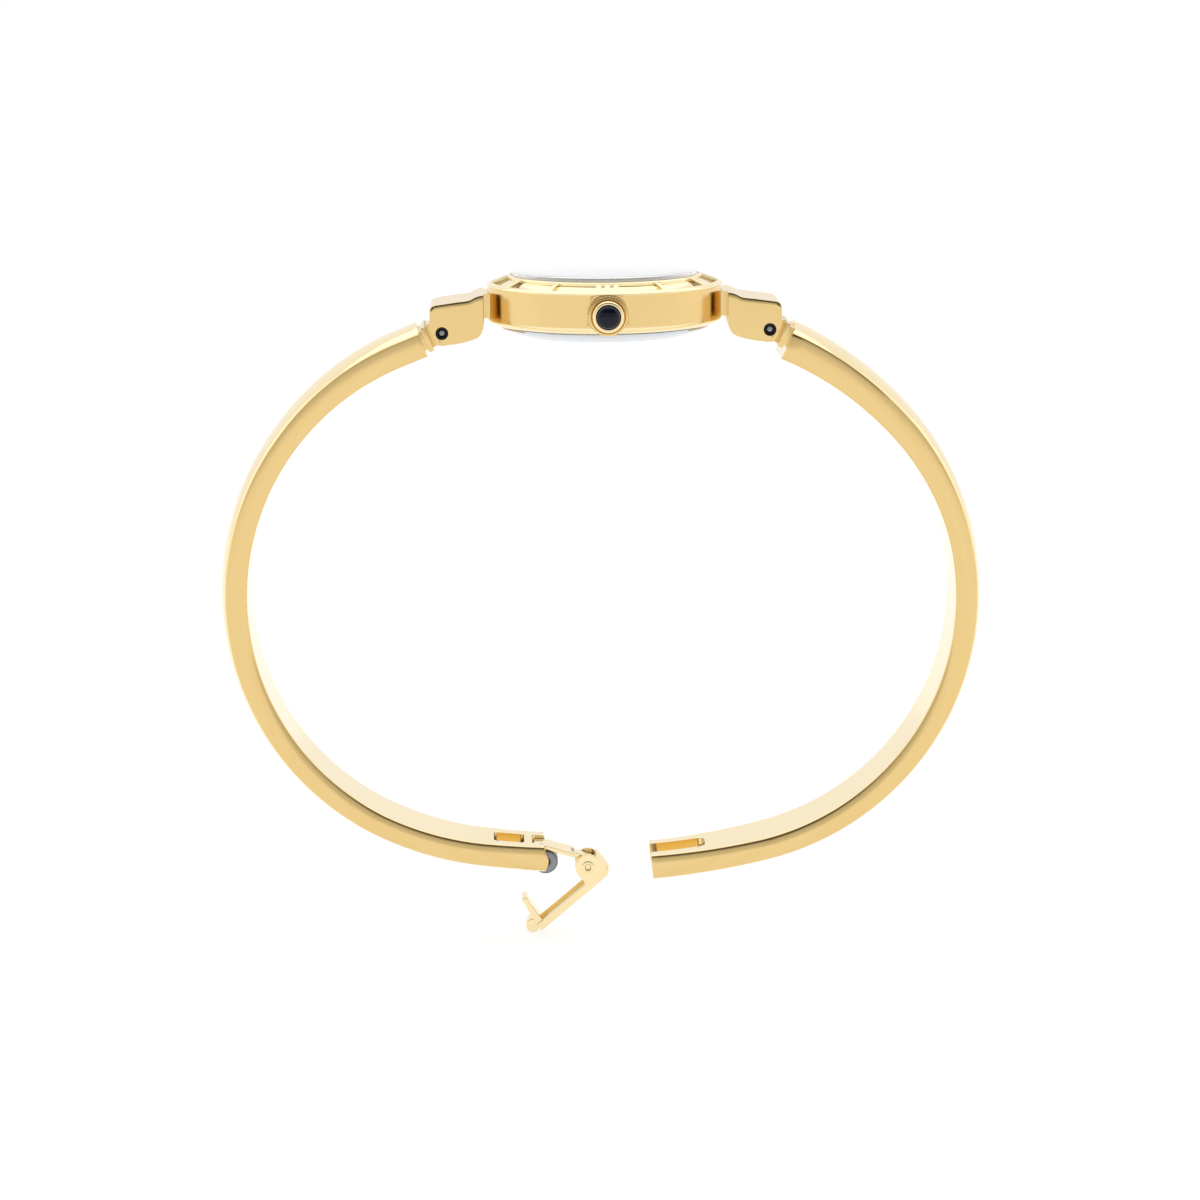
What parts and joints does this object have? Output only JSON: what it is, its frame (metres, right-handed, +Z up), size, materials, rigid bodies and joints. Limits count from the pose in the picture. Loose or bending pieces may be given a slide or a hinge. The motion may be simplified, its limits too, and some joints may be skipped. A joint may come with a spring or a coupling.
{
  "type": "bangle watch",
  "caption": "Round quartz bangle watch with rigid hinged half-hoop arms, a fold-over clasp, an hour-bar bezel and a stone-set crown.",
  "frame": {"origin": "centre of the case back's flat outer face, which rests on the wrist", "axes": "+Z up through the dial, +X towards 12 o'clock, -Y out along the crown at 3 o'clock"},
  "size_m": [0.0656, 0.0223, 0.0584],
  "materials": {
    "gold_satin": "satin yellow gold",
    "gold_polished": "polished yellow gold",
    "steel": "polished steel",
    "pin_steel": "ground steel",
    "crystal": "clear",
    "cabochon": "polished dark stone",
    "gasket": "translucent white",
    "rubber": "black",
    "dial": "satin ivory",
    "hands": "polished yellow gold",
    "movement": "fine brushed",
    "wheels": "polished brass",
    "cell": "brushed",
    "copper": "enamelled copper wire",
    "board": "green circuit board",
    "holder": "white plastic"
  },
  "bodies": {
    "watch_head": {"case_middle": "gold_satin", "lug_12": "gold_satin", "lug_6": "gold_satin", "bezel": "gold_polished", "crystal": "crystal", "crystal_gasket": "gasket", "flange_ring": "gold_satin", "dial": "dial", "hour_markers": "hands", "crown_tube": "steel", "case_back": "steel", "case_back_gasket": "rubber", "main_plate": "movement", "train_bridge": "movement", "battery": "cell", "battery_clip": "pin_steel", "coil": "copper", "circuit_board": "board", "movement_holder": "holder", "left_hinge_pin": "pin_steel", "right_hinge_pin": "pin_steel"},
    "setting_slide": {"setting_lever": "pin_steel"},
    "crown_knob": {"crown": "gold_polished", "crown_stem": "pin_steel", "crown_cabochon": "cabochon"},
    "minute_works": {"minute_hand": "hands", "cannon_pinion": "wheels"},
    "hour_works": {"hour_hand": "hands", "hour_wheel": "wheels"},
    "transfer_wheel": {"minute_wheel": "wheels"},
    "arm_6": {"left_arm": "gold_satin", "left_cross_pin": "pin_steel"},
    "arm_12": {"right_arm": "gold_satin", "right_cross_pin": "pin_steel"},
    "link": {"clasp_barrel": "steel", "clasp_link": "gold_polished"},
    "lever": {"clasp_lever": "gold_polished", "clasp_rivet": "gold_polished"}
  },
  "joints": [
    {"name": "arm_6_hinge", "type": "hinge", "parent": "watch_head", "child": "arm_6", "pos_m": [-0.01387, 0, 0.00052], "axis": [0, 1, 0], "range_deg": [-3.9, 20]},
    {"name": "arm_12_hinge", "type": "hinge", "parent": "watch_head", "child": "arm_12", "pos_m": [0.01387, 0, 0.00052], "axis": [0, -1, 0], "range_deg": [-5.8, 20]},
    {"name": "link_hinge", "type": "hinge", "parent": "arm_6", "child": "link", "pos_m": [-0.00566, 0, -0.04613], "axis": [0, 1, 0], "range_deg": [-2.4, 40]},
    {"name": "lever_hinge", "type": "hinge", "parent": "link", "child": "lever", "pos_m": [-0.00195, 0, -0.04664], "axis": [0, -1, 0], "range_deg": [-46.5, 35]},
    {"name": "crown_pull", "type": "slide", "parent": "watch_head", "child": "setting_slide", "axis": [0, -1, 0], "range_m": [0, 0.0008]},
    {"name": "crown_turn", "type": "hinge", "parent": "setting_slide", "child": "crown_knob", "pos_m": [0, -0.01, 0.00255], "axis": [0, -1, 0], "continuous": true},
    {"name": "minute_turn", "type": "hinge", "parent": "watch_head", "child": "minute_works", "pos_m": [0, 0, 0.003], "axis": [0, 0, -1], "continuous": true},
    {"name": "hour_turn", "type": "hinge", "parent": "watch_head", "child": "hour_works", "pos_m": [0, 0, 0.003], "axis": [0, 0, -1], "continuous": true},
    {"name": "transfer_turn", "type": "hinge", "parent": "watch_head", "child": "transfer_wheel", "pos_m": [0, 0.002, 0.0026], "axis": [0, 0, -1], "continuous": true}
  ],
  "couplings": [
    {"joint": "hour_turn", "follows": "minute_turn", "ratio": 0.083333},
    {"joint": "transfer_turn", "follows": "minute_turn", "ratio": -0.33333}
  ]
}
